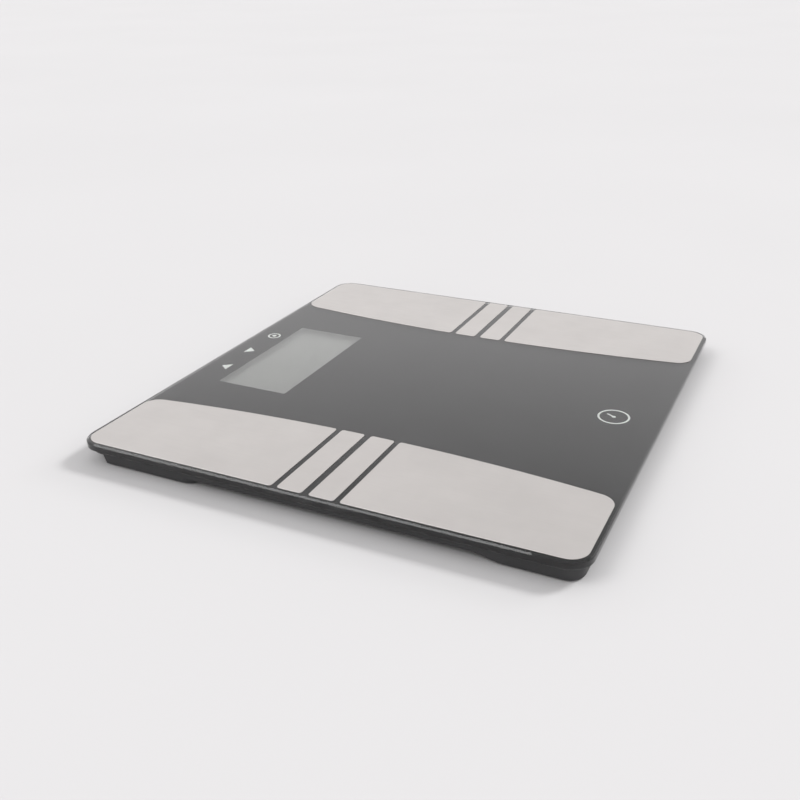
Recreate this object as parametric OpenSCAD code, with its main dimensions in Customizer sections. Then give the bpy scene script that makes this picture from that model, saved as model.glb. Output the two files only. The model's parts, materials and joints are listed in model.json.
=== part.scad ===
// Glass bathroom scale with steel electrode plates.
// X runs from the left to the right of the person who stands on it, +Y points to the display end,
// +Z is up, and the floor is at z = 0 under the middle of the platform.

/* [Platform] */
// Width of the glass, left to right
platform_w = 297; // [295:1:304]
// Depth of the glass, user end to display end
platform_d = 280; // [278:1:286]
// Thickness of the tempered glass
glass_t = 4; // [3:0.5:6]
// Corner radius of the glass in plan
glass_r = 12; // [10:1:16]
// Thickness of the ink layer under the glass
ink_t = 0.1; // [0.05:0.05:0.2]

/* [Electrode plates] */
// Thickness of the stainless steel plates
plate_t = 0.3; // [0.2:0.1:1]
// Bare glass left outside the plates at the left and right
plate_margin_x = 2.3; // [2:0.1:5]
// Bare glass left outside the plates at the user and display ends
plate_margin_y = 2.4; // [2:0.1:5]
// Corner radius of each group of plates
plate_r = 9.5; // [6:0.5:12]
// Corner radius beside the gaps
plate_gap_r = 1.6; // [0.5:0.1:2]
// Half distance between the two groups, where they are closest
plate_inner_x = 79; // [76:1:84]
// Radius of the bowed inner edge of each group
plate_bow_r = 970; // [800:10:1200]
// Width of each narrow strip
strip_w = 14; // [12:0.5:15]
// Gap between the two strips
strip_gap = 3.8; // [3:0.2:5]
// Gap between a strip and the big plate next to it
plate_gap = 3.1; // [2.5:0.1:4]

/* [Display and keys] */
// Width of the display window in the ink
window_w = 98.5; // [94:0.5:100]
// Height of the display window in the ink
window_d = 46.7; // [40:0.1:48]
// Distance from the display end of the glass to the middle of the window
window_inset = 45; // [44:0.5:46]
// Depth of the display panel below the ink
display_drop = 2.3; // [1.5:0.1:2.5]
// Distance from the display end of the glass to the middle of the key marks
key_inset = 12; // [11:0.5:12.5]
// Distance between neighbouring key marks
key_pitch = 28.5; // [24:0.5:30]
// Size of a key mark
key_mark = 8.8; // [6:0.2:10]

/* [Base tray] */
// How far the tray stands back from the edge of the glass
tray_inset = 3.5; // [3:0.5:4]
// Wall thickness of the tray
wall = 2; // [1.6:0.2:2.2]
// Floor thickness of the tray
floor_t = 1.2; // [1:0.1:1.4]
// Height of the underside of the load cell housings above the floor
well_z = 1; // [0.8:0.1:1.2]
// Height of the underside of the middle of the tray
mid_z = 3.7; // [3.5:0.1:3.9]
// Height of the underside of the tray's rim
rim_z = 5.7; // [5.3:0.1:5.9]

/* [Load cells and feet] */
// Distance of each foot from the middle, left and right
foot_x = 118.5; // [118:0.5:119]
// Distance of the two feet at the display end from the middle
toe_foot_y = 96; // [95:0.5:97]
// Distance of the two feet at the user end from the middle
heel_foot_y = 116.5; // [116:0.1:116.8]
// Side of the square load cell
cell_w = 34; // [33:0.2:34.2]
// Thickness of the load cell
cell_t = 1.6; // [1.4:0.1:1.6]
// Radius of the foot below the tray
foot_r = 11.4; // [10:0.2:11.6]
// Travel of a foot between its stop and its load cell
foot_drop = 0.4; // [0.2:0.1:0.4]

/* [Battery and unit button] */
// Diameter of the coin cell
coin_d = 20; // [19:0.5:20]
// Thickness of the coin cell
coin_t = 3.2; // [2.5:0.1:3.2]
// Radius of the unit button
button_r = 3.8; // [3:0.1:4]
// Travel of the unit button
button_travel = 0.5; // [0.3:0.1:0.5]

/* [Hidden] */
$fn = 64;

slit = 0.05;            // overlap or gap that only keeps faces apart
glass_z = 8.7;          // underside of the glass
ink_z = glass_z - ink_t;
plate_z = glass_z + glass_t;
tape_t = 0.3;
tray_top = ink_z - tape_t;
well_floor = well_z + floor_t;
mid_floor = mid_z + floor_t;

left = -1;
right = 1;
toe = 1;
heel = -1;
sides = [left, right];
ends = [toe, heel];

plates_w = platform_w - 2 * plate_margin_x;
plates_d = platform_d - 2 * plate_margin_y;
strip_y0 = strip_gap / 2;
strip_y1 = strip_y0 + strip_w;
plate_y0 = strip_y1 + plate_gap;

stud_r = 1.5;
stud_hole_r = 2;
stud_head_r = 2.6;
stud_head_t = 0.3;
stud_x = 90;
stud_ys = [(strip_y0 + strip_y1) / 2, 40];

window_y = platform_d / 2 - window_inset;
key_y = platform_d / 2 - key_inset;
ink_border = 0.6;
dial_y = -113;
dial_r = 9;
dial_line = 1.2;

panel_w = window_w + 19.5;
panel_d = window_d + 19.3;
panel_t = 2;
panel_z = ink_z - display_drop - panel_t;
frame_wall = 3.5;
frame_gap = 0.5;
ledge_w = 3.5;
gasket_t = 0.2;
film_t = 0.1;
film_d = 10;
ribbon_t = 0.2;
ribbon_x0 = -30;
ribbon_x1 = 4;

pcb_t = 1;
pcb_z = 5.1;
pcb_top = pcb_z + pcb_t;
pcb_x0 = -52;
pcb_x1 = 14;
pcb_y0 = 22;
pcb_y1 = 52;
post_inset = 3.5;
post_r = 2.5;
screw_r = 0.83;
pilot_r = 0.85;
screw_head_r = 1.9;
screw_head_t = 1.1;

button_x = -20;
button_y = 37;
button_flange_r = 5.2;
button_flange_t = 0.6;
button_proud = 0.2;
button_clear = 0.2;
plunger_r = 1.6;
plunger_clear = 0.08;
switch_w = 6;
switch_z = well_floor + slit + button_flange_t + button_travel + 0.1;

bay_x = 38;
bay_y = 32;
bay_w = coin_d + 3;
bay_d = coin_d + 7;
bay_wall = 1.6;
bay_roof_z = 6;
bay_roof_t = 1;
door_gap = 0.3;
hinge_r = 1.2;
hinge_pin_r = 0.75;
hinge_bore_r = 0.8;
hinge_pin_l = 1.4;
hinge_y = bay_y + bay_d / 2 - door_gap - hinge_r;
hinge_z = well_z + hinge_r;
coin_y = bay_y - 2;
coin_z = well_floor + 0.1;
leaf_t = 0.2;

tray_w = platform_w - 2 * tray_inset;
tray_d = platform_d - 2 * tray_inset;
tray_r = glass_r - tray_inset;
well_x0 = 94;
toe_well_y0 = 65;
toe_well_y1 = 124.4;
toe_well_r = 9.7;
toe_plan_d = 80;
toe_slope = 1.8;
heel_well_y = 98.4;
heel_slope = 12;
mid_end_y = toe_well_y1 - 1.5;
bump_w = 132;
bump_y0 = 12;
bump_y1 = 134.4;
bump_r = 4;
rib_t = 1.4;
rib_xs = [-40, 0, 40];
rib_y0 = -128;
rib_y1 = -14;
cross_rib_y = -70;
tray_rib_top = 6.7;

collar_r = 14;
collar_t = 0.5;
cell_r = 3;
cell_slot_w = 24;
cell_slot_gap = 3.2;
cell_z = 4.3;
cell_top = cell_z + cell_t;
ring_t = 1.6;
ring_gap = 0.2;
cell_ledge = 1.6;
holder_post_x = 20.2;
holder_w = 46;
holder_d = 32;
holder_r = 5;
holder_open = 22;
holder_slot = 5;
holder_exit_y = 7;
holder_t = ink_z - cell_top;
gauge_w = 5;
gauge_l = 7;
gauge_t = 0.7;
ribbon_cable_w = 3.6;
ribbon_cable_t = 0.5;
ribbon_cable_z = 6.15;

foot_hole_r = foot_r + 0.6;
foot_flange_r = 13.5;
foot_flange_t = 0.8;
foot_flange_z = well_floor + foot_drop + 0.1;
foot_boss_r = 4;
foot_cap_z = 0.6;
pad_r = 9.9;
pad_t = 1.5;
pad_clear = 0.05;

// ---- shared shapes ----

// Flat rectangle with round corners, centred
module rounded_rect(w, d, r) {
    square([w - 2 * r, d], center = true);
    square([w, d - 2 * r], center = true);
    for (x = [-1, 1], y = [-1, 1])
        translate([x * (w / 2 - r), y * (d / 2 - r)])
            circle(r);
}

module slab(z, t) {
    translate([0, 0, z])
        linear_extrude(t)
            children();
}

module box(x0, x1, y0, y1, z0, z1) {
    translate([x0, y0, z0])
        cube([x1 - x0, y1 - y0, z1 - z0]);
}

// Flat line of width w through the points
module stroke(points, w) {
    for (i = [0 : len(points) - 2]) {
        step = points[i + 1] - points[i];
        translate(points[i])
            rotate(atan2(step[1], step[0]))
                translate([0, -w / 2])
                    square([norm(step), w]);
    }
    for (i = [1 : len(points) - 2])
        translate(points[i])
            circle(w / 2);
}

// Side profile, drawn as [y, z] points, pushed along X from x0 to x1
module profile(points, x0, x1) {
    translate([x0, 0, 0])
        rotate([90, 0, 90])
            linear_extrude(x1 - x0)
                polygon(points);
}

function foot_y(end) = end == toe ? toe_foot_y : -heel_foot_y;

module at_foot(side, end) {
    translate([side * foot_x, foot_y(end), 0])
        children();
}

module at_feet() {
    for (side = sides, end = ends)
        at_foot(side, end)
            children();
}

module at_studs() {
    for (side = sides, end = ends, y = stud_ys)
        translate([side * stud_x, end * y, 0])
            children();
}

// ---- glass and print ----

module glass_platform() {
    color("dimgray", 0.6)
        difference() {
            slab(glass_z, glass_t)
                rounded_rect(platform_w, platform_d, glass_r);
            at_studs()
                slab(glass_z - 1, glass_t + 2)
                    circle(stud_hole_r);
        }
}

module back_print() {
    color("black")
        difference() {
            slab(ink_z, ink_t)
                rounded_rect(platform_w - 2 * ink_border, platform_d - 2 * ink_border, glass_r - ink_border);
            slab(ink_z - 1, ink_t + 2) {
                translate([0, window_y])
                    square([window_w, window_d], center = true);
                key_shapes();
                dial_shape();
            }
            at_studs()
                slab(ink_z - 1, ink_t + 2)
                    circle(stud_hole_r);
        }
}

// Filled triangle that points to the display end
module arrow_mark() {
    rise = key_mark * 0.65;
    polygon([[-key_mark / 2, -rise / 2], [key_mark / 2, -rise / 2], [0, rise / 2]]);
}

module ring_mark(r, line) {
    difference() {
        circle(r);
        circle(r - line);
    }
}

// Up, down and set keys
module key_shapes() {
    translate([0, key_y]) {
        translate([-key_pitch, 0])
            arrow_mark();
        mirror([0, 1])
            arrow_mark();
        translate([key_pitch, 0]) {
            ring_mark(key_mark / 2, key_mark / 8);
            circle(key_mark / 6);
        }
    }
}

// Plain dial with a needle
module dial_shape() {
    needle_l = dial_r * 0.55;
    translate([0, dial_y]) {
        ring_mark(dial_r, dial_line);
        rotate(60)
            translate([0, -dial_line / 2])
                square([needle_l, dial_line]);
        circle(dial_line);
    }
}

module key_marks() {
    color("white")
        slab(ink_z, ink_t)
            key_shapes();
}

module dial_mark() {
    color("white")
        slab(ink_z, ink_t)
            dial_shape();
}

// ---- electrode plates ----

// Outline of all the steel on one side, before it is cut into plates
module plate_group(side) {
    offset(r = plate_r, $fn = 96)
        offset(delta = -plate_r)
            intersection() {
                square([plates_w, plates_d], center = true);
                translate([side * (plate_inner_x + plate_bow_r), 0])
                    circle(plate_bow_r, $fn = 1440);
            }
}

// Part of that outline between two distances from the middle
module electrode(side, end, y0, y1) {
    color("lightgray")
        slab(plate_z, plate_t)
            offset(r = plate_gap_r, $fn = 48)
                offset(delta = -plate_gap_r)
                    intersection() {
                        plate_group(side);
                        mirror([0, end == heel ? 1 : 0])
                            translate([-platform_w / 2, y0])
                                square([platform_w, y1 - y0]);
                    }
}

module big_plate(side, end) {
    electrode(side, end, plate_y0, platform_d / 2);
}

module strip(side, end) {
    electrode(side, end, strip_y0, strip_y1);
}

module toe_plate_left() {
    big_plate(left, toe);
}

module toe_plate_right() {
    big_plate(right, toe);
}

module heel_plate_left() {
    big_plate(left, heel);
}

module heel_plate_right() {
    big_plate(right, heel);
}

module toe_strip_left() {
    strip(left, toe);
}

module toe_strip_right() {
    strip(right, toe);
}

module heel_strip_left() {
    strip(left, heel);
}

module heel_strip_right() {
    strip(right, heel);
}

// Eight contact studs, one through the glass under each plate
module electrode_studs() {
    color("silver")
        at_studs() {
            slab(tray_top, plate_z - tray_top)
                circle(stud_r);
            slab(ink_z - stud_head_t, stud_head_t)
                circle(stud_head_r);
        }
}

module electrode_wires() {
    wire = 0.6;
    wire_w = 1;
    strip_y = stud_ys[0];
    plate_y = stud_ys[1];
    routes = [
        [[-stud_x, strip_y], [-stud_x, plate_y], [-60, plate_y], [-46, 36]],
        [[stud_x, strip_y], [stud_x, plate_y], [60, 50], [19, 50], [15, 35], [8, 35]],
        [[-stud_x, -plate_y], [-stud_x, -strip_y], [-64, -strip_y], [-64, 18], [-57, 31], [-46, 31]],
        [[stud_x, -plate_y], [stud_x, -strip_y], [60, -strip_y], [60, 5], [6, 5], [6, 28]]
    ];
    color("orange")
        slab(tray_top - wire, wire)
            for (route = routes)
                stroke(route, wire_w);
}

// ---- display and keys ----

module lcd_panel() {
    color("darkseagreen")
        translate([0, window_y, 0])
            slab(panel_z, panel_t)
                square([panel_w, panel_d], center = true);
}

module frame_outline() {
    square([panel_w + 2 * (frame_gap + frame_wall), panel_d + 2 * (frame_gap + frame_wall)], center = true);
}

module lcd_frame() {
    color("dimgray")
        translate([0, window_y, 0])
            difference() {
                slab(well_floor, tray_top - well_floor)
                    frame_outline();
                slab(panel_z, ink_z)
                    square([panel_w + 2 * frame_gap, panel_d + 2 * frame_gap], center = true);
                slab(well_z, ink_z)
                    square([panel_w - 2 * ledge_w, panel_d - 2 * ledge_w], center = true);
                box(ribbon_x0 - 1, ribbon_x1 + 1, -panel_d, 0, panel_z + 0.7, panel_z + 1.3);
            }
}

module lcd_gasket() {
    color("black")
        translate([0, window_y, 0])
            slab(tray_top, gasket_t)
                difference() {
                    frame_outline();
                    square([panel_w + 2 * frame_gap, panel_d + 2 * frame_gap], center = true);
                }
}

// Heat-seal ribbon from the edge of the panel to the underside of the board
module lcd_ribbon() {
    y0 = window_y - panel_d / 2;
    z0 = panel_z + 0.9;
    bend_y = pcb_y1 + 3;
    color("goldenrod")
        profile([
            [y0, z0], [bend_y, z0], [pcb_y1 + 1, pcb_z - ribbon_t], [pcb_y1 - 5, pcb_z - ribbon_t],
            [pcb_y1 - 5, pcb_z], [pcb_y1 + 1, pcb_z], [bend_y, z0 + ribbon_t],
            [y0, z0 + ribbon_t]
        ], ribbon_x0, ribbon_x1);
}

module touch_film() {
    tail_x = 66;
    tail_w = 4;
    color("khaki")
        slab(ink_z - film_t, film_t) {
            translate([0, key_y])
                square([2 * tail_x + tail_w, film_d], center = true);
            stroke([[tail_x, key_y], [tail_x, 57], [8, 57], [8, 40]], tail_w);
        }
}

module contact_foam() {
    color("darkgray")
        box(6.5, 9.5, 40.5, 43.5, pcb_top, ink_z - film_t);
}

// ---- circuit board ----

module at_pcb_screws() {
    for (x = [pcb_x0 + post_inset, pcb_x1 - post_inset], y = [pcb_y0 + post_inset, pcb_y1 - post_inset])
        translate([x, y, 0])
            children();
}

module main_pcb() {
    color("darkgreen")
        difference() {
            box(pcb_x0, pcb_x1, pcb_y0, pcb_y1, pcb_z, pcb_top);
            at_pcb_screws()
                slab(pcb_z - 1, pcb_t + 2)
                    circle(screw_r + 0.2);
        }
}

module pcb_components() {
    pads = [[-46, 36], [8, 35], [-46, 31], [6, 28]];
    chips = [[-30, 40, 5, 3], [-12, 44, 3, 2], [-12, 30, 3, 2], [-40, 28, 4, 2], [-2, 38, 2, 4]];
    color("black") {
        translate([-27, 31, 0])
            slab(pcb_top, 0.9)
                circle(4.5);
        for (c = chips)
            box(c[0] - c[2] / 2, c[0] + c[2] / 2, c[1] - c[3] / 2, c[1] + c[3] / 2, pcb_top, pcb_top + 0.8);
        for (p = pads)
            translate([p[0], p[1], 0])
                slab(pcb_top, tray_top - 0.6 - pcb_top)
                    circle(0.9);
    }
}

// Self-tapping screw whose head sits on z = seat and whose tip is at z = tip
module screw(seat, tip) {
    slab(tip, seat - tip)
        circle(screw_r);
    difference() {
        slab(seat, screw_head_t)
            circle(screw_head_r);
        slab(seat + screw_head_t / 2, screw_head_t)
            for (turn = [0, 90])
                rotate(turn)
                    square([2, 0.5], center = true);
    }
}

module pcb_screws() {
    color("silver")
        at_pcb_screws()
            screw(pcb_top, well_floor + 0.4);
}

// ---- unit button ----

module tact_switch() {
    color("gray")
        translate([button_x, button_y, 0])
            difference() {
                slab(switch_z, pcb_z - switch_z)
                    square(switch_w, center = true);
                slab(switch_z - 1, pcb_z - switch_z + 0.8)
                    circle(plunger_r + plunger_clear);
            }
}

module unit_button() {
    color("gray")
        translate([button_x, button_y, 0]) {
            slab(well_z - button_proud, button_proud + floor_t + slit + 0.1)
                circle(button_r);
            slab(well_floor + slit, button_flange_t)
                circle(button_flange_r);
        }
}

module button_plunger() {
    plunger_z = well_floor + slit + button_flange_t;
    color("white")
        translate([button_x, button_y, 0])
            slab(plunger_z, pcb_z - 0.3 - button_travel - plunger_z)
                circle(plunger_r);
}

// ---- battery ----

module hinge_pin(r, l) {
    rotate([0, 90, 0])
        cylinder(r = r, h = l, center = true);
}

// Door with a hinge barrel and a pin at each end of it
module battery_door() {
    door_w = bay_w - 2 * door_gap;
    y0 = bay_y - bay_d / 2 + door_gap;
    grip_n = 3;
    color("dimgray") {
        difference() {
            box(bay_x - door_w / 2, bay_x + door_w / 2, y0, hinge_y, well_z, well_floor);
            for (i = [0 : grip_n - 1])
                box(bay_x - 5, bay_x + 5, y0 + 3 + 2 * i, y0 + 4 + 2 * i, well_z - 1, well_z + 0.4);
        }
        translate([bay_x, hinge_y, hinge_z]) {
            hinge_pin(hinge_r, door_w);
            hinge_pin(hinge_pin_r, door_w + 2 * hinge_pin_l);
        }
    }
}

module coin_cell() {
    rim = 1;
    step = 0.3;
    color("silver")
        translate([bay_x, coin_y, 0]) {
            slab(coin_z, coin_t - step)
                circle(coin_d / 2);
            slab(coin_z, coin_t)
                circle(coin_d / 2 - rim);
        }
}

module battery_contact_minus() {
    color("gold")
        translate([bay_x, coin_y, 0]) {
            slab(bay_roof_z - leaf_t, leaf_t)
                circle(6);
            slab(coin_z + coin_t + slit, bay_roof_z - coin_z - coin_t - slit)
                circle(2.5);
        }
}

module battery_contact_plus() {
    x0 = bay_x - bay_w / 2;
    bump_r = bay_x - coin_d / 2 - slit - x0 - leaf_t;
    color("gold")
        difference() {
            union() {
                box(x0, x0 + leaf_t, coin_y - 4, coin_y + 4, coin_z + 0.5, coin_z + 2.5);
                translate([x0 + leaf_t, coin_y, 0])
                    slab(coin_z + 0.5, 2)
                        circle(bump_r);
            }
            box(x0 - 3, x0, coin_y - 5, coin_y + 5, coin_z, coin_z + 4);
        }
}

// ---- base tray ----

// Upright block with the round corners that a toe housing has at its user end
module toe_well_plan(side, inset) {
    translate([side * (well_x0 + tray_w / 2) / 2, toe_well_y0 + toe_plan_d / 2])
        slab(0, tray_top + 1)
            rounded_rect(tray_w / 2 - well_x0 - 2 * inset, toe_plan_d - 2 * inset, toe_well_r - inset);
}

// Outer shape of the tray with its walls moved in and its floors moved up
module tray_shape(inset, lift) {
    top = tray_top + (inset > 0 ? 1 : 0);
    end_y = tray_d / 2 + 1;
    intersection() {
        slab(0, top)
            rounded_rect(tray_w - 2 * inset, tray_d - 2 * inset, tray_r - inset);
        union() {
            box(-tray_w / 2, tray_w / 2, -end_y, end_y, rim_z + lift, top);
            profile([
                [-end_y, top], [-end_y, mid_z + lift], [mid_end_y - inset, mid_z + lift],
                [mid_end_y + 2 - inset, rim_z + lift], [mid_end_y + 2 - inset, top]
            ], -tray_w / 2, tray_w / 2);
            for (side = sides) {
                x0 = side == left ? -tray_w / 2 : well_x0 + inset;
                x1 = side == left ? -well_x0 - inset : tray_w / 2;
                intersection() {
                    profile([
                        [toe_well_y0, top], [toe_well_y0, well_z + lift], [toe_well_y1 - inset, well_z + lift],
                        [toe_well_y1 + toe_slope - inset, rim_z + lift], [toe_well_y1 + toe_slope - inset, top]
                    ], x0, x1);
                    toe_well_plan(side, inset);
                }
                profile([
                    [-end_y, top], [-end_y, well_z + lift], [-heel_well_y - inset, well_z + lift],
                    [-heel_well_y + heel_slope - inset, mid_z + lift], [-heel_well_y + heel_slope - inset, top]
                ], x0, x1);
            }
            translate([0, (bump_y0 + bump_y1) / 2, 0])
                slab(well_z + lift, top - well_z - lift)
                    rounded_rect(bump_w - 2 * inset, bump_y1 - bump_y0 - 2 * inset, bump_r - inset);
        }
    }
}

// Frame that holds a load cell in place and the ledge that it lies on
module cell_seat() {
    out = cell_w + 2 * (ring_gap + ring_t);
    difference() {
        slab(well_floor - slit, cell_top - 0.2 - well_floor)
            square(out, center = true);
        slab(cell_z, 10)
            square(cell_w + 2 * ring_gap, center = true);
        slab(well_floor - 1, 10)
            square(cell_w - 2 * cell_ledge, center = true);
    }
}

module post(base, top) {
    slab(base, top - base)
        circle(post_r);
}

module tray_holes() {
    at_feet()
        slab(0, well_floor + slit)
            circle(foot_hole_r);
    at_feet()
        for (side = sides)
            translate([side * holder_post_x, 0, 0])
                slab(well_floor + 0.2, 10)
                    circle(pilot_r);
    at_pcb_screws()
        slab(well_floor + 0.2, 10)
            circle(pilot_r);
    translate([button_x, button_y, 0])
        slab(0, well_floor + slit)
            circle(button_r + button_clear);
    box(bay_x - bay_w / 2, bay_x + bay_w / 2, bay_y - bay_d / 2, bay_y + bay_d / 2, 0, bay_roof_z);
    translate([bay_x, hinge_y, hinge_z])
        hinge_pin(hinge_bore_r, bay_w + 2 * hinge_pin_l + 0.2);
}

module base_tray() {
    color([0.2, 0.2, 0.2])
        difference() {
            union() {
                difference() {
                    tray_shape(0, 0);
                    tray_shape(wall, floor_t);
                }
                intersection() {
                    tray_shape(0, 0);
                    at_feet()
                        union() {
                            cell_seat();
                            for (side = sides)
                                translate([side * holder_post_x, 0, 0])
                                    post(well_floor - slit, cell_top);
                        }
                }
                at_feet()
                    slab(well_z - collar_t, collar_t + slit)
                        circle(collar_r);
                at_pcb_screws()
                    post(well_floor - slit, pcb_z);
                box(bay_x - bay_w / 2 - bay_wall, bay_x + bay_w / 2 + bay_wall,
                    bay_y - bay_d / 2 - bay_wall, bay_y + bay_d / 2 + bay_wall,
                    well_z + slit, bay_roof_z + bay_roof_t);
                for (x = rib_xs)
                    box(x - rib_t / 2, x + rib_t / 2, rib_y0, rib_y1, mid_floor - slit, tray_rib_top);
                box(rib_xs[0], rib_xs[2], cross_rib_y - rib_t / 2, cross_rib_y + rib_t / 2,
                    mid_floor - slit, tray_rib_top);
            }
            tray_holes();
        }
}

module tray_tape() {
    color("white")
        slab(tray_top, tape_t)
            difference() {
                rounded_rect(tray_w, tray_d, tray_r);
                rounded_rect(tray_w - 2 * wall, tray_d - 2 * wall, tray_r - wall);
            }
}

// ---- load cells ----

// Square steel plate with a tongue that the foot pushes up
module load_cell(side, end) {
    tongue_w = cell_slot_w - 2 * cell_slot_gap;
    color("silver")
        at_foot(side, end)
            slab(cell_z, cell_t)
                difference() {
                    rounded_rect(cell_w, cell_w, cell_r);
                    difference() {
                        square(cell_slot_w, center = true);
                        translate([-side * cell_slot_gap, 0])
                            square([cell_slot_w, tongue_w], center = true);
                    }
                }
}

module load_cell_toe_left() {
    load_cell(left, toe);
}

module load_cell_toe_right() {
    load_cell(right, toe);
}

module load_cell_heel_left() {
    load_cell(left, heel);
}

module load_cell_heel_right() {
    load_cell(right, heel);
}

module strain_gauges() {
    color("ivory")
        for (side = sides, end = ends)
            at_foot(side, end)
                translate([-side * 7, 0, 0])
                    slab(cell_top, gauge_t)
                        square([gauge_w, gauge_l], center = true);
}

// Flat three-core cables from the load cells to the board
module cell_wires() {
    start_x = foot_x - 9.5;
    toe_y = toe_foot_y - holder_exit_y;
    heel_y = -heel_foot_y + holder_exit_y;
    solder_l = 3;
    routes = [
        [[-start_x, toe_y], [-80, toe_y], [-80, 42], [pcb_x0 + solder_l, 42]],
        [[start_x, toe_y], [80, toe_y], [80, 53], [18.5, 53], [18.5, 43], [pcb_x1 - solder_l, 43]],
        [[-start_x, heel_y], [-70, heel_y], [-70, 35], [pcb_x0 + solder_l, 35]],
        [[start_x, heel_y], [70, heel_y], [70, 8], [-4, 8], [-4, pcb_y0 + solder_l]]
    ];
    color("firebrick")
        slab(ribbon_cable_z, ribbon_cable_t)
            for (route = routes)
                stroke(route, ribbon_cable_w);
}

// Plate over a load cell: its frame passes the load from the glass to the cell's rim
module cell_holder(side, end) {
    color("gainsboro")
        at_foot(side, end)
            difference() {
                slab(cell_top, holder_t)
                    rounded_rect(holder_w, holder_d, holder_r);
                slab(cell_top - 1, holder_t + 2)
                    square(holder_open, center = true);
                slab(cell_top - 1, holder_t + 2)
                    translate([-side * holder_w / 4, -end * holder_exit_y])
                        square([holder_w / 2 + 1, holder_slot], center = true);
                for (post_side = sides)
                    translate([post_side * holder_post_x, 0, 0]) {
                        slab(cell_top - 1, holder_t + 2)
                            circle(screw_r + 0.2);
                        slab(cell_top + 0.5, holder_t)
                            circle(screw_head_r + 0.2);
                    }
            }
}

module cell_holder_toe_left() {
    cell_holder(left, toe);
}

module cell_holder_toe_right() {
    cell_holder(right, toe);
}

module cell_holder_heel_left() {
    cell_holder(left, heel);
}

module cell_holder_heel_right() {
    cell_holder(right, heel);
}

module holder_screws() {
    color("silver")
        at_feet()
            for (side = sides)
                translate([side * holder_post_x, 0, 0])
                    screw(cell_top + 0.5, well_floor + 0.4);
}

// ---- feet ----

module foot_cap(side, end) {
    color("dimgray")
        at_foot(side, end)
            difference() {
                union() {
                    slab(foot_cap_z, foot_flange_z + slit - foot_cap_z)
                        circle(foot_r);
                    slab(foot_flange_z, foot_flange_t)
                        circle(foot_flange_r);
                    slab(foot_flange_z, cell_z - slit - foot_flange_z)
                        circle(foot_boss_r);
                }
                slab(0, pad_t)
                    circle(pad_r + pad_clear);
            }
}

module foot_cap_toe_left() {
    foot_cap(left, toe);
}

module foot_cap_toe_right() {
    foot_cap(right, toe);
}

module foot_cap_heel_left() {
    foot_cap(left, heel);
}

module foot_cap_heel_right() {
    foot_cap(right, heel);
}

module foot_pad(side, end) {
    groove = 0.4;
    color("black")
        at_foot(side, end)
            difference() {
                slab(0, pad_t)
                    circle(pad_r);
                slab(-1, 1 + groove)
                    for (r = [3, 6])
                        ring_mark(r + 0.5, 1);
            }
}

module foot_pad_toe_left() {
    foot_pad(left, toe);
}

module foot_pad_toe_right() {
    foot_pad(right, toe);
}

module foot_pad_heel_left() {
    foot_pad(left, heel);
}

module foot_pad_heel_right() {
    foot_pad(right, heel);
}

glass_platform();
back_print();
key_marks();
dial_mark();
toe_plate_left();
toe_plate_right();
heel_plate_left();
heel_plate_right();
toe_strip_left();
toe_strip_right();
heel_strip_left();
heel_strip_right();
electrode_studs();
electrode_wires();
touch_film();
contact_foam();
lcd_panel();
lcd_frame();
lcd_gasket();
lcd_ribbon();
main_pcb();
pcb_components();
pcb_screws();
tact_switch();
unit_button();
button_plunger();
battery_door();
coin_cell();
battery_contact_minus();
battery_contact_plus();
base_tray();
tray_tape();
load_cell_toe_left();
load_cell_toe_right();
load_cell_heel_left();
load_cell_heel_right();
strain_gauges();
cell_wires();
cell_holder_toe_left();
cell_holder_toe_right();
cell_holder_heel_left();
cell_holder_heel_right();
holder_screws();
foot_cap_toe_left();
foot_cap_toe_right();
foot_cap_heel_left();
foot_cap_heel_right();
foot_pad_toe_left();
foot_pad_toe_right();
foot_pad_heel_left();
foot_pad_heel_right();
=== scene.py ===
import json
import math

import bmesh
import bpy
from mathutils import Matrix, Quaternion, Vector
from mathutils.geometry import delaunay_2d_cdt


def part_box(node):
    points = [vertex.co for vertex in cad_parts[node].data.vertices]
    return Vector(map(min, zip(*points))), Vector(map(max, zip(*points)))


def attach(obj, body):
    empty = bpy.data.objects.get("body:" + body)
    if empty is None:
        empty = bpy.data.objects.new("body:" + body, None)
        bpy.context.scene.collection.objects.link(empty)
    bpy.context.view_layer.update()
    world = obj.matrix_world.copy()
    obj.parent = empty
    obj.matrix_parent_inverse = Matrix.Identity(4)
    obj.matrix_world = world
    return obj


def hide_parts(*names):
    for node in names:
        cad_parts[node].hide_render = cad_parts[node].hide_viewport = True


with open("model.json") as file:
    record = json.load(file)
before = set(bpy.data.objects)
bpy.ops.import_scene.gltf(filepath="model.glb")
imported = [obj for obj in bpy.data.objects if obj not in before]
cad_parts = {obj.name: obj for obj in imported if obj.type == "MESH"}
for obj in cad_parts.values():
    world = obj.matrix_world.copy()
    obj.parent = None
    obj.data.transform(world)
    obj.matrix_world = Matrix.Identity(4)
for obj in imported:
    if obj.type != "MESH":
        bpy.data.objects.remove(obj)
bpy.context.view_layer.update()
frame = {"nodes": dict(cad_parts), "record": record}

# Lengths are in metres, in the CAD frame: +Y points to the display end, z = 0 is the floor.
MM = 0.001
TOUCH = 0.01 * MM            # points closer than this are one point
SHARP = math.radians(40)     # edges bent more than this stay crisp
ROUND_STEPS = 5              # segments in a small quarter round
LATHE_STEPS = 96             # segments in a full turn
PLATFORM = "platform"
CORNERS = ("toe_left", "toe_right", "heel_left", "heel_right")
PLATES = [f"{end}_{kind}_{side}" for end in ("toe", "heel") for kind in ("plate", "strip")
          for side in ("left", "right")]


# ---- materials ----

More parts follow.
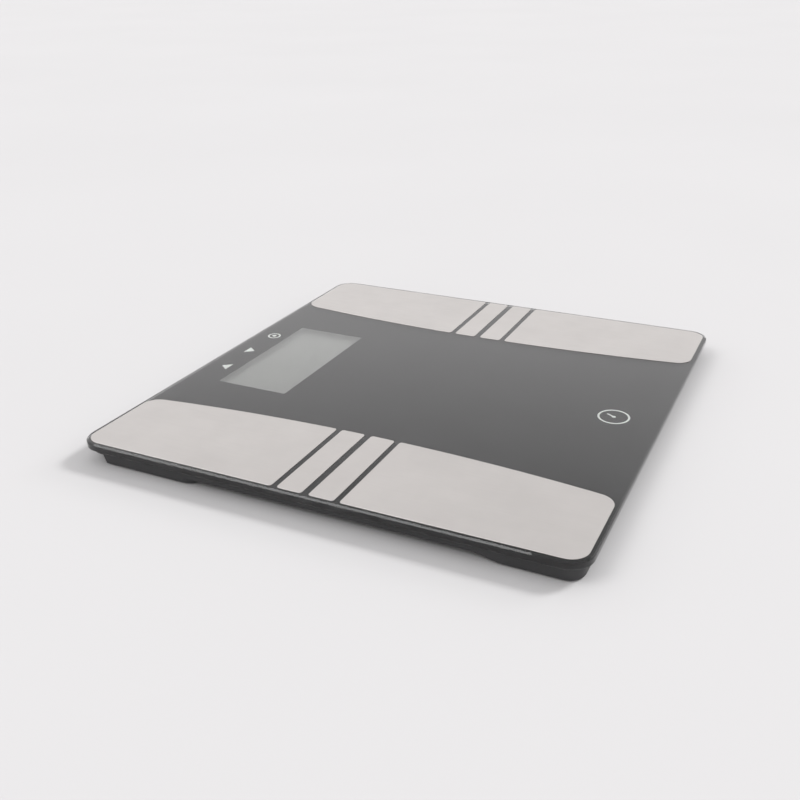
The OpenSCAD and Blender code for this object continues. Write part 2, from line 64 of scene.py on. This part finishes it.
# What surface() takes for each opaque slot of the record
SURFACES = {
    "black_ink": dict(colour=(0.016, 0.016, 0.017), vary=0.15, rough=0.6, relief=0),
    "white_ink": dict(colour=(0.80, 0.83, 0.80), vary=0.04, rough=0.6, relief=0),
    "stainless_steel": dict(colour=(0.645, 0.622, 0.602), vary=0.03, rough=0.38, metallic=1.0, blotch=35,
                            grain=900, stretch=(1, 0.06, 1), relief=0.06, relief_depth=0.02 * MM),
    "plated_contact": dict(colour=(0.80, 0.66, 0.40), vary=0.05, rough=0.3, rough_vary=0.08, metallic=1.0),
    "wire_insulation": dict(colour=(0.50, 0.05, 0.04), vary=0.08, rough=0.45),
    "amber_film": dict(colour=(0.60, 0.33, 0.08), vary=0.08, rough=0.25, coat=0.3),
    "conductive_foam": dict(colour=(0.05, 0.05, 0.055), vary=0.3, rough=0.9, grain=3000, relief=0.6,
                            relief_depth=0.2 * MM),
    "lcd_grey": dict(colour=(0.125, 0.122, 0.117), vary=0.015, rough=0.30, rough_vary=0.04, blotch=12,
                     grain=4000, relief=0.03, specular=0.4),
    "frame_plastic": dict(colour=(0.10, 0.10, 0.105), vary=0.08),
    "circuit_board": dict(colour=(0.015, 0.15, 0.05), vary=0.15, rough=0.3, rough_vary=0.06, blotch=300,
                          coat=0.4),
    "chip_black": dict(colour=(0.02, 0.02, 0.02), vary=0.2),
    "screw_steel": dict(colour=(0.55, 0.55, 0.56), rough=0.32, rough_vary=0.08, metallic=1.0),
    "switch_plastic": dict(colour=(0.74, 0.73, 0.68), vary=0.05),
    "tray_plastic": dict(colour=(0.030, 0.030, 0.031), vary=0.10, rough=0.46, rough_vary=0.06, grain=1800,
                         relief=0.35, relief_depth=0.06 * MM),
    "foam_tape": dict(colour=(0.03, 0.03, 0.03), vary=0.2, rough=0.9),
    "coin_steel": dict(colour=(0.68, 0.68, 0.67), vary=0.04, rough=0.3, rough_vary=0.06, metallic=1.0),
    "cell_steel": dict(colour=(0.48, 0.49, 0.50), rough=0.36, rough_vary=0.08, metallic=1.0,
                       stretch=(1, 0.1, 1)),
    "holder_plastic": dict(colour=(0.55, 0.55, 0.53), vary=0.05),
    "foot_plastic": dict(colour=(0.045, 0.045, 0.047), vary=0.10, relief=0.3),
    "foot_rubber": dict(colour=(0.022, 0.022, 0.023), vary=0.2, rough=0.8, rough_vary=0.06, grain=2500,
                        relief=0.5, relief_depth=0.08 * MM),
}
FLOOR_PAPER = dict(colour=(0.512, 0.508, 0.511), vary=0.01, rough=0.9, rough_vary=0.03, blotch=2, grain=300,
                   relief=0, specular=0.2)


def shader_tree(name):
    """A new material, its node tree and its Principled shader."""
    material = bpy.data.materials.new(name)
    material.use_nodes = True
    tree = material.node_tree
    return material, tree, tree.nodes["Principled BSDF"]


def noise(tree, scale, stretch=(1, 1, 1)):
    """A noise texture's grey output, scale features to the metre, in the object's own coordinates."""
    coords = tree.nodes.new("ShaderNodeTexCoord")
    mapping = tree.nodes.new("ShaderNodeMapping")
    mapping.inputs["Scale"].default_value = stretch
    texture = tree.nodes.new("ShaderNodeTexNoise")
    texture.inputs["Scale"].default_value = scale
    texture.inputs["Detail"].default_value = 3.0
    texture.inputs["Roughness"].default_value = 0.55
    tree.links.new(coords.outputs["Object"], mapping.inputs["Vector"])
    tree.links.new(mapping.outputs["Vector"], texture.inputs["Vector"])
    return texture.outputs["Fac"]


def spread(tree, value, low, high):
    """Maps the middle half of a noise's range to low ... high."""
    span = tree.nodes.new("ShaderNodeMapRange")
    span.inputs["From Min"].default_value = 0.25
    span.inputs["From Max"].default_value = 0.75
    span.inputs["To Min"].default_value = low
    span.inputs["To Max"].default_value = high
    tree.links.new(value, span.inputs["Value"])
    return span.outputs["Result"]


def tint(tree, value, dark, light):
    """Mixes two colours by a noise."""
    ramp = tree.nodes.new("ShaderNodeValToRGB")
    for element, place, colour in zip(ramp.color_ramp.elements, (0.3, 0.7), (dark, light)):
        element.position = place
        element.color = (*colour, 1)
    tree.links.new(value, ramp.inputs["Fac"])
    return ramp.outputs["Color"]


def bump(tree, shader, value, strength, depth):
    """Lets a noise roughen the shader's normal."""
    node = tree.nodes.new("ShaderNodeBump")
    node.inputs["Strength"].default_value = strength
    node.inputs["Distance"].default_value = depth
    tree.links.new(value, node.inputs["Height"])
    tree.links.new(node.outputs["Normal"], shader.inputs["Normal"])


def surface(name, colour, vary=0.06, rough=0.5, rough_vary=0.05, metallic=0.0, blotch=60, grain=1500,
            stretch=(1, 1, 1), relief=0.15, relief_depth=0.05 * MM, specular=0.5, coat=0.0):
    """An opaque material: blotches in the colour, grain in the roughness and in the relief."""
    material, tree, shader = shader_tree(name)
    shader.inputs["Metallic"].default_value = metallic
    shader.inputs["Specular IOR Level"].default_value = specular
    shader.inputs["Coat Weight"].default_value = coat
    shader.inputs["Coat Roughness"].default_value = 0.08
    dark = [c * (1 - vary) for c in colour]
    light = [min(1, c * (1 + vary)) for c in colour]
    fine = noise(tree, grain, stretch)
    tree.links.new(tint(tree, noise(tree, blotch), dark, light), shader.inputs["Base Color"])
    tree.links.new(spread(tree, fine, rough - rough_vary, rough + rough_vary), shader.inputs["Roughness"])
    if relief:
        bump(tree, shader, fine, relief, relief_depth)
    return material


def clear_glass(name, colour, rough):
    """Solid clear glass with a trace of smear on its polish."""
    material, tree, shader = shader_tree(name)
    shader.inputs["Transmission Weight"].default_value = 1.0
    shader.inputs["IOR"].default_value = 1.52
    pale = [min(1, c * 1.02) for c in colour]
    tree.links.new(tint(tree, noise(tree, 25), colour, pale), shader.inputs["Base Color"])
    tree.links.new(spread(tree, noise(tree, 40), 0, rough), shader.inputs["Roughness"])
    return material


def make_materials():
    """One material for each slot of the record."""
    made = {"tempered_glass": clear_glass("tempered_glass", (0.955, 0.98, 0.962), 0.02)}
    for name, recipe in SURFACES.items():
        made[name] = surface(name, **recipe)
    slots = {m["slot"] for m in frame["record"]["materials"]}
    assert slots == set(made), slots ^ set(made)
    return made


MATERIALS = make_materials()
NODE_SLOT = {part["node"]: part["material_slot"] for part in frame["record"]["subparts"]}


# ---- mesh helpers ----

def finish_piece(name, shape, node, slots=None, body=PLATFORM):
    """Turns a bmesh into a piece that stands for a CAD node and rides on its body."""
    bmesh.ops.remove_doubles(shape, verts=shape.verts, dist=TOUCH / 10)
    bmesh.ops.recalc_face_normals(shape, faces=shape.faces)
    mesh = bpy.data.meshes.new(name)
    shape.to_mesh(mesh)
    shape.free()
    for face in mesh.polygons:
        face.use_smooth = True
    mesh.set_sharp_from_angle(angle=SHARP)
    piece = bpy.data.objects.new(name, mesh)
    bpy.context.scene.collection.objects.link(piece)
    for slot in slots or [NODE_SLOT[node]]:
        mesh.materials.append(MATERIALS[slot])
    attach(piece, body)
    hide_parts(node)
    return piece


def box_centre(node):
    """Middle of a CAD node's box in plan."""
    low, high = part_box(node)
    return Vector(((low.x + high.x) / 2, (low.y + high.y) / 2))


def top_loops(node):
    """Outlines of a CAD node's top faces as lists of flat points, the longest first."""
    mesh = frame["nodes"][node].data
    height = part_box(node)[1].z
    places = [tuple(round(c, 7) for c in v.co) for v in mesh.vertices]
    follow = {}
    for face in mesh.polygons:
        ring = [places[i] for i in face.vertices]
        if all(abs(p[2] - height) < TOUCH for p in ring):
            for a, b in zip(ring, ring[1:] + ring[:1]):
                if a in follow.get(b, ()):
                    follow[b].remove(a)
                else:
                    follow.setdefault(a, []).append(b)
    loops = []
    while any(follow.values()):
        loop = []
        here = next(a for a, b in follow.items() if b)
        while follow.get(here):
            loop.append(Vector(here[:2]))
            here = follow[here].pop()
        loops.append(loop)
    return sorted(loops, key=len, reverse=True)


def rounded_rectangle(width, depth, radius, steps=16):
    """Outline with round corners, anticlockwise, centred."""
    loop = []
    for turn, (sx, sy) in enumerate(((1, 1), (-1, 1), (-1, -1), (1, -1))):
        centre = Vector((sx * (width / 2 - radius), sy * (depth / 2 - radius)))
        for i in range(steps + 1):
            angle = math.radians(90 * (turn + i / steps))
            loop.append(centre + radius * Vector((math.cos(angle), math.sin(angle))))
    return loop


def moved_in(loop, inset):
    """The outline moved in by inset, with as many points."""
    moved = []
    for i, here in enumerate(loop):
        before = (here - loop[i - 1]).normalized()
        after = (loop[(i + 1) % len(loop)] - here).normalized()
        out_before = Vector((before.y, -before.x))
        out_after = Vector((after.y, -after.x))
        moved.append(here - inset * (out_before + out_after) / (1 + out_before.dot(out_after)))
    return moved


def bridge(shape, low, high):
    """Faces between two rings of vertices, one of which may be a single vertex."""
    for i in range(max(len(low), len(high))):
        if len(low) == 1:
            corners = (low[0], high[i], high[i - 1])
        elif len(high) == 1:
            corners = (low[i - 1], low[i], high[0])
        else:
            corners = (low[i - 1], low[i], high[i], high[i - 1])
        shape.faces.new(corners)


def edge_profile(z_low, z_high, r_low, r_high, steps_low, steps_high):
    """(inset, z) steps round the edge of a slab, from its underside to its top."""
    flat = 0.05 * MM     # a narrow flat ring keeps the shading of the big face level
    profile = [(r_low + flat, z_low)]
    for i in range(steps_low + 1):
        angle = math.radians(90 * i / steps_low)
        profile.append((r_low * (1 - math.sin(angle)), z_low + r_low * (1 - math.cos(angle))))
    for i in range(steps_high + 1):
        angle = math.radians(90 * i / steps_high)
        profile.append((r_high * (1 - math.cos(angle)), z_high - r_high * (1 - math.sin(angle))))
    profile.append((r_high + flat, z_high))
    return profile


def add_slab(shape, loop, z_low, z_high, r_low, r_high, steps_low, steps_high, cap_low=True):
    """Adds a slab with rounded edges, chamfered where steps are 1, and returns its lowest ring."""
    rings = []
    for inset, z in edge_profile(z_low, z_high, r_low, r_high, steps_low, steps_high):
        rings.append([shape.verts.new((p.x, p.y, z)) for p in moved_in(loop, inset)])
    for low, high in zip(rings, rings[1:]):
        bridge(shape, low, high)
    shape.faces.new(rings[-1])
    if cap_low:
        shape.faces.new(list(reversed(rings[0])))
    return rings[0]


def lathe_ring(shape, centre, radius, z):
    """A ring of vertices, or a single one on the axis."""
    if radius < TOUCH:
        return [shape.verts.new((centre.x, centre.y, z))]
    ring = []
    for i in range(LATHE_STEPS):
        angle = 2 * math.pi * i / LATHE_STEPS
        place = (centre.x + radius * math.cos(angle), centre.y + radius * math.sin(angle), z)
        ring.append(shape.verts.new(place))
    return ring


def lathe_piece(name, node, profile, body):
    """Turns a closed (radius, z) profile round the vertical axis of a CAD node."""
    centre = box_centre(node)
    shape = bmesh.new()
    rings = [lathe_ring(shape, centre, radius, z) for radius, z in profile]
    for low, high in zip(rings, rings[1:]):
        bridge(shape, low, high)
    return finish_piece(name, shape, node, body=body)


def quarter(centre_r, centre_z, radius):
    """(radius, z) points of a quarter round, from its lowest point to its outermost."""
    angles = [math.radians(-90 + 90 * i / ROUND_STEPS) for i in range(ROUND_STEPS + 1)]
    return [(centre_r + radius * math.cos(a), centre_z + radius * math.sin(a)) for a in angles]


def inside(point, loops):
    """True if a flat point is inside the loops, by the even-odd rule."""
    odd = False
    for loop in loops:
        for i, b in enumerate(loop):
            a = loop[i - 1]
            if (a.y > point.y) != (b.y > point.y):
                cross = a.x + (point.y - a.y) / (b.y - a.y) * (b.x - a.x)
                if cross > point.x:
                    odd = not odd
    return odd


# ---- glass platform ----

def loop_width(loop):
    return max(p.x for p in loop) - min(p.x for p in loop)


def print_underside(shape, rim, window, marks, z):
    """Closes the pane's underside with faces of clear glass, black ink and white ink."""
    points = []
    edges = []
    for loop in [[Vector(v.co[:2]) for v in rim], window] + marks:
        first = len(points)
        points += loop
        edges += [(first + i, first + (i + 1) % len(loop)) for i in range(len(loop))]
    found, _, faces, _, _, _ = delaunay_2d_cdt(points, edges, [], 1, 1e-7)
    verts = [shape.verts.new((p.x, p.y, z)) for p in found]
    clear, black, white = range(3)
    for face in faces:
        centre = sum((found[i] for i in face), Vector((0, 0))) / len(face)
        made = shape.faces.new([verts[i] for i in reversed(face)])
        if inside(centre, [window]):
            made.material_index = clear
        elif inside(centre, marks):
            made.material_index = white
        else:
            made.material_index = black


def build_glass():
    """Polished pane with a chamfer. Its underside is printed as in the ink layer."""
    corner_r = 12 * MM
    chamfer = 0.8 * MM
    low_r = 0.4 * MM
    ink_gap = 0.02 * MM      # keeps the ink's own CAD layer just clear of the pane
    low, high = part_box("glass_platform")
    z_low = low.z + ink_gap
    outline = rounded_rectangle(high.x - low.x, high.y - low.y, corner_r)
    window = max(top_loops("back_print")[1:], key=loop_width)
    marks = top_loops("key_marks") + top_loops("dial_mark")
    shape = bmesh.new()
    rim = add_slab(shape, outline, z_low, high.z, low_r, chamfer, ROUND_STEPS, 1, cap_low=False)
    print_underside(shape, rim, window, marks, z_low)
    finish_piece("glass_pane", shape, "glass_platform", ["tempered_glass", "black_ink", "white_ink"])


def build_plates():
    """Steel plates with a fine rolled edge."""
    low_r = 0.03 * MM
    top_r = 0.15 * MM
    for node in PLATES:
        low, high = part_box(node)
        shape = bmesh.new()
        add_slab(shape, top_loops(node)[0], low.z, high.z, low_r, top_r, 3, 3)
        finish_piece(f"steel_{node}", shape, node)


# ---- display ----

def build_display():
    """Two glass sheets with polarisers, the front one shorter so that the contacts are bare."""
    sheet_t = 0.9 * MM
    film_t = 0.15 * MM
    rear_margin = 1 * MM
    front_margin = 0.6 * MM
    ledge = 3 * MM
    corner_r = 0.5 * MM
    edge_r = 0.05 * MM
    low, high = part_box("lcd_panel")
    rear_z = low.z + film_t
    front_z = rear_z + sheet_t
    layers = (
        (0, 0, rear_z, front_z),
        (rear_margin, 0, low.z, rear_z),
        (0, ledge, front_z, high.z - film_t),
        (front_margin, ledge, high.z - film_t, high.z),
    )
    shape = bmesh.new()
    for margin, front_cut, z_low, z_high in layers:
        width = high.x - low.x - 2 * margin
        depth = high.y - low.y - 2 * margin - front_cut
        place = box_centre("lcd_panel") + Vector((0, front_cut / 2))
        outline = [p + place for p in rounded_rectangle(width, depth, corner_r, 4)]
        add_slab(shape, outline, z_low, z_high, edge_r, edge_r, 2, 2)
    finish_piece("display_glass", shape, "lcd_panel")


# ---- feet and unit button ----

def cap_profile(low, high, pad_top):
    """Outline of a foot cap: socket for the pad, wall, stop flange, and boss under the load cell."""
    soft = 0.3 * MM
    half = soft / 2
    socket_r = 9.95 * MM
    outer_r = 11.4 * MM
    flange_r = (high.x - low.x) / 2
    flange_z = 2.7 * MM
    flange_top = flange_z + 0.8 * MM
    boss_r = 4 * MM
    return [
        (0, pad_top), (socket_r, pad_top), (socket_r, low.z + half), (socket_r + half, low.z),
        *quarter(outer_r - soft, low.z + soft, soft),
        (outer_r, flange_z), (flange_r - half, flange_z), (flange_r, flange_z + half),
        (flange_r, flange_top - half), (flange_r - half, flange_top), (boss_r, flange_top),
        (boss_r, high.z - half), (boss_r - half, high.z), (0, high.z),
    ]


def pad_profile(radius, top):
    """Outline of a rubber pad with two ring grooves in its underside."""
    soft = 0.3 * MM
    lip = 0.1 * MM
    groove = 0.4 * MM
    groove_half_w = 0.5 * MM
    profile = [(0, 0)]
    for groove_r in (3 * MM, 6 * MM):
        inner = groove_r - groove_half_w
        outer = groove_r + groove_half_w
        profile += [(inner - lip, 0), (inner, lip), (inner + lip, groove)]
        profile += [(outer - lip, groove), (outer, lip), (outer + lip, 0)]
    return profile + quarter(radius - soft, soft, soft) + [(radius, top), (0, top)]


def build_feet():
    for corner in CORNERS:
        body = f"foot_{corner}"
        cap = f"foot_cap_{corner}"
        pad = f"foot_pad_{corner}"
        low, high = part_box(cap)
        pad_low, pad_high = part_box(pad)
        lathe_piece(f"cap_{corner}", cap, cap_profile(low, high, pad_high.z), body)
        lathe_piece(f"pad_{corner}", pad, pad_profile((pad_high.x - pad_low.x) / 2, pad_high.z), body)


def build_button():
    """Unit button with a dished face and a flange that keeps it in the tray."""
    soft = 0.3 * MM
    stem_r = 3.8 * MM
    dish_r = stem_r - 1.2 * MM
    dish_t = 0.25 * MM
    low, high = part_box("unit_button")
    flange_r = (high.x - low.x) / 2
    flange_z = high.z - 0.6 * MM
    profile = [
        (0, low.z + dish_t), (dish_r / 2, low.z + 0.8 * dish_t), (dish_r, low.z + 0.08 * dish_t),
        *quarter(stem_r - soft, low.z + soft, soft),
        (stem_r, flange_z), (flange_r, flange_z), (flange_r, high.z), (0, high.z),
    ]
    lathe_piece("button_cap", "unit_button", profile, "unit_button")


# ---- CAD nodes that stay ----

def soften(node, width, segments):
    """Gives a CAD node's edges a small round: welds the imported mesh and bevels it."""
    piece = frame["nodes"][node]
    weld = piece.modifiers.new("weld", "WELD")
    weld.merge_threshold = TOUCH
    round_edges = piece.modifiers.new("round", "BEVEL")
    round_edges.width = width
    round_edges.segments = segments
    round_edges.limit_method = "ANGLE"
    round_edges.angle_limit = math.radians(35)
    round_edges.use_clamp_overlap = True


def dress_cad_nodes():
    for node, piece in frame["nodes"].items():
        for material_slot in piece.material_slots:
            material_slot.material = MATERIALS[NODE_SLOT[node]]
    soften("base_tray", 0.4 * MM, 3)
    soften("battery_door", 0.2 * MM, 2)


# ---- stage ----

def build_floor():
    half = 8
    shape = bmesh.new()
    corners = ((-half, -half), (half, -half), (half, half), (-half, half))
    shape.faces.new([shape.verts.new((x, y, 0)) for x, y in corners])
    mesh = bpy.data.meshes.new("floor")
    shape.to_mesh(mesh)
    shape.free()
    floor = bpy.data.objects.new("floor", mesh)
    bpy.context.scene.collection.objects.link(floor)
    mesh.materials.append(surface("floor_paper", **FLOOR_PAPER))


def build_world():
    """A pale studio: brightest a little above the horizon, with a dimmer belt halfway up."""
    world = bpy.data.worlds.new("studio")
    bpy.context.scene.world = world
    world.use_nodes = True
    tree = world.node_tree
    coords = tree.nodes.new("ShaderNodeTexCoord")
    split = tree.nodes.new("ShaderNodeSeparateXYZ")
    ramp = tree.nodes.new("ShaderNodeValToRGB")
    # (height of the direction, 0 at the horizon and 1 overhead; brightness)
    stops = ((0.0, 1.05), (0.26, 1.15), (0.37, 1.17), (0.42, 1.07), (0.48, 0.92), (0.57, 0.5), (0.66, 0.95),
             (1.0, 0.95))
    elements = ramp.color_ramp.elements
    while len(elements) < len(stops):
        elements.new(0.5)
    for element, (place, level) in zip(elements, stops):
        element.position = place
        element.color = (level, level * 0.985, level * 0.992, 1)
    tree.links.new(coords.outputs["Generated"], split.inputs["Vector"])
    tree.links.new(split.outputs["Z"], ramp.inputs["Fac"])
    tree.links.new(ramp.outputs["Color"], tree.nodes["Background"].inputs["Color"])
    tree.nodes["Background"].inputs["Strength"].default_value = 1.0


def sun(name, direction, strength, width, in_reflections=False):
    """A distant light from the given direction, width degrees across."""
    data = bpy.data.lights.new(name, "SUN")
    data.energy = strength
    data.angle = math.radians(width)
    light = bpy.data.objects.new(name, data)
    light.location = Vector(direction).normalized() * 2
    light.rotation_euler = light.location.to_track_quat("Z", "Y").to_euler()
    bpy.context.scene.collection.objects.link(light)
    light.visible_glossy = in_reflections


def build_lights():
    """Two key lights behind the scale, and a fill that puts a highlight on the glass's near edge."""
    sun("key", (0.92, -0.87, 1), 2.2, 14)
    sun("low_key", (2, -1.5, 1), 0.5, 14)
    sun("fill", (-0.47, 0.48, 0.73), 0.9, 34, in_reflections=True)


def build_camera():
    heading = math.radians(26.026)
    drop = math.radians(25.187)
    roll = math.radians(-0.829)
    data = bpy.data.cameras.new("camera")
    data.lens = 42.955
    data.sensor_width = 36
    data.clip_start = 0.01
    camera = bpy.data.objects.new("camera", data)
    level = math.cos(drop)
    forward = Vector((math.cos(heading) * level, math.sin(heading) * level, -math.sin(drop)))
    turn = forward.to_track_quat("-Z", "Y") @ Quaternion((0, 0, 1), roll)
    camera.location = (-0.4808, -0.2153, 0.2478)
    camera.rotation_euler = turn.to_euler()
    bpy.context.scene.collection.objects.link(camera)
    bpy.context.scene.camera = camera


build_glass()
build_plates()
build_display()
build_feet()
build_button()
dress_cad_nodes()
build_floor()
build_world()
build_lights()
build_camera()
bpy.context.scene.view_settings.view_transform = "Standard"
